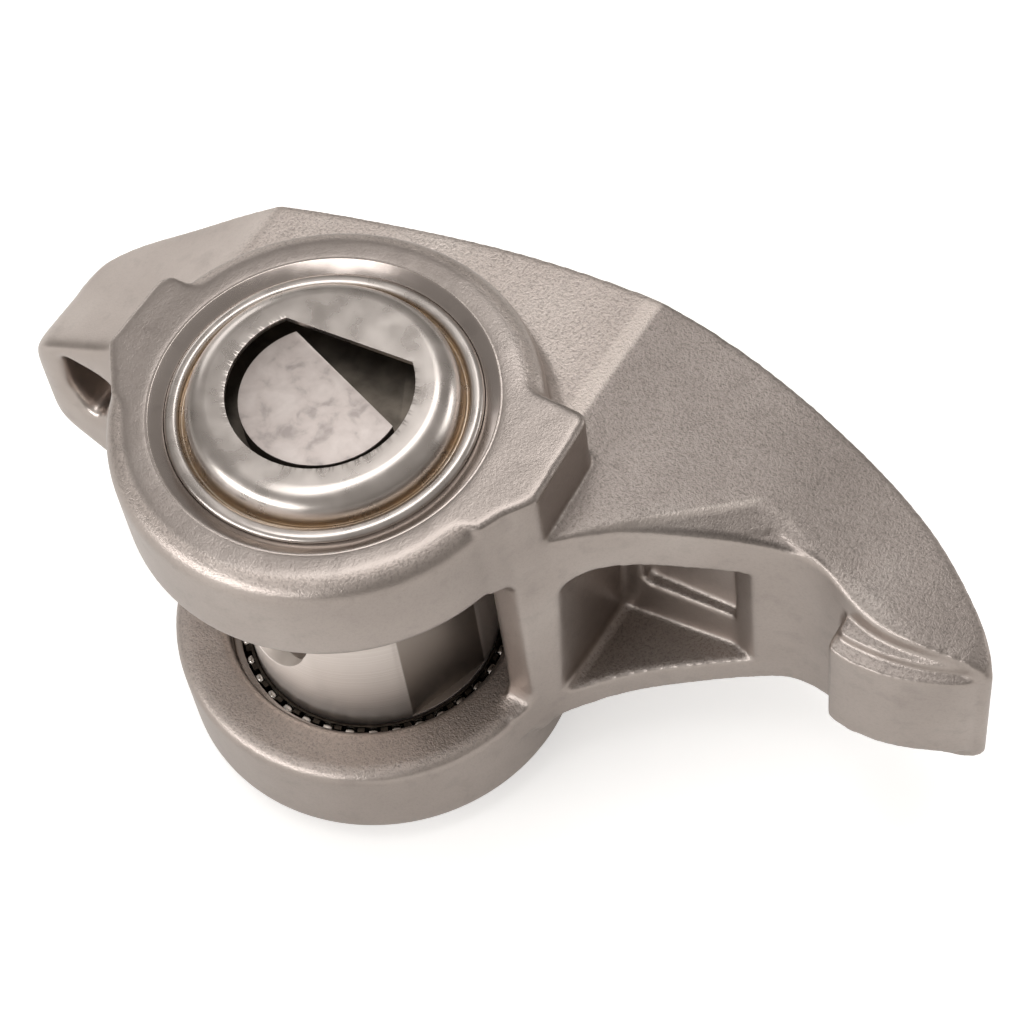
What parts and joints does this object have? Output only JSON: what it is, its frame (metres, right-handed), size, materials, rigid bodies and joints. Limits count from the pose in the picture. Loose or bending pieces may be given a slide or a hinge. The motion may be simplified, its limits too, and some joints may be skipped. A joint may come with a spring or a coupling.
{
  "type": "rocker arm",
  "caption": "Forged forked lever that rocks on a stout shaft, carried by two pressed-in, closed-end needle roller bearings, with a curved arm to a convex tip pad.",
  "frame": {"origin": "on the shaft's axis, in the lever's middle plane between the two rings", "axes": "+Z along the shaft's axis towards the ring with the milled pad and ear, +X towards the arm's tip, +Y towards the lever's back edge"},
  "size_m": [0.1794, 0.0861, 0.0908],
  "materials": {
    "forged_steel": "blasted forging with machined faces",
    "ground_steel": "ground and phosphated",
    "cup_steel": "bright drawn sheet",
    "cage_steel": "dull folded sheet",
    "roller_steel": "polished"
  },
  "bodies": {
    "lever": {"lever_arm": "forged_steel", "upper_bearing_cup": "cup_steel", "lower_bearing_cup": "cup_steel"},
    "shaft": {"rocker_shaft": "ground_steel"},
    "upper_needle_set": {"upper_needle_cage": "cage_steel", "upper_needle_rollers": "roller_steel"},
    "lower_needle_set": {"lower_needle_cage": "cage_steel", "lower_needle_roller_01": "roller_steel", "lower_needle_roller_02": "roller_steel", "lower_needle_roller_03": "roller_steel", "lower_needle_roller_04": "roller_steel", "lower_needle_roller_05": "roller_steel", "lower_needle_roller_06": "roller_steel", "lower_needle_roller_07": "roller_steel", "lower_needle_roller_08": "roller_steel", "lower_needle_roller_09": "roller_steel", "lower_needle_roller_10": "roller_steel", "lower_needle_roller_11": "roller_steel", "lower_needle_roller_12": "roller_steel", "lower_needle_roller_13": "roller_steel", "lower_needle_roller_14": "roller_steel", "lower_needle_roller_15": "roller_steel", "lower_needle_roller_16": "roller_steel", "lower_needle_roller_17": "roller_steel", "lower_needle_roller_18": "roller_steel", "lower_needle_roller_19": "roller_steel", "lower_needle_roller_20": "roller_steel", "lower_needle_roller_21": "roller_steel", "lower_needle_roller_22": "roller_steel", "lower_needle_roller_23": "roller_steel", "lower_needle_roller_24": "roller_steel", "lower_needle_roller_25": "roller_steel", "lower_needle_roller_26": "roller_steel", "lower_needle_roller_27": "roller_steel", "lower_needle_roller_28": "roller_steel", "lower_needle_roller_29": "roller_steel", "lower_needle_roller_30": "roller_steel", "lower_needle_roller_31": "roller_steel", "lower_needle_roller_32": "roller_steel", "lower_needle_roller_33": "roller_steel", "lower_needle_roller_34": "roller_steel", "lower_needle_roller_35": "roller_steel", "lower_needle_roller_36": "roller_steel"}
  },
  "joints": [
    {"name": "shaft_turn", "type": "hinge", "parent": "lever", "child": "shaft", "pos_m": [0, 0, 0], "axis": [0, 0, 1], "range_deg": [-3, 52]},
    {"name": "upper_needle_orbit", "type": "hinge", "parent": "lever", "child": "upper_needle_set", "pos_m": [0, 0, 0.032], "axis": [0, 0, 1], "range_deg": [-1.5, 24.7]},
    {"name": "lower_needle_orbit", "type": "hinge", "parent": "lever", "child": "lower_needle_set", "pos_m": [0, 0, -0.032], "axis": [0, 0, 1], "range_deg": [-1.5, 24.7]}
  ],
  "couplings": [
    {"joint": "upper_needle_orbit", "follows": "shaft_turn", "ratio": 0.4737},
    {"joint": "lower_needle_orbit", "follows": "shaft_turn", "ratio": 0.4737}
  ]
}
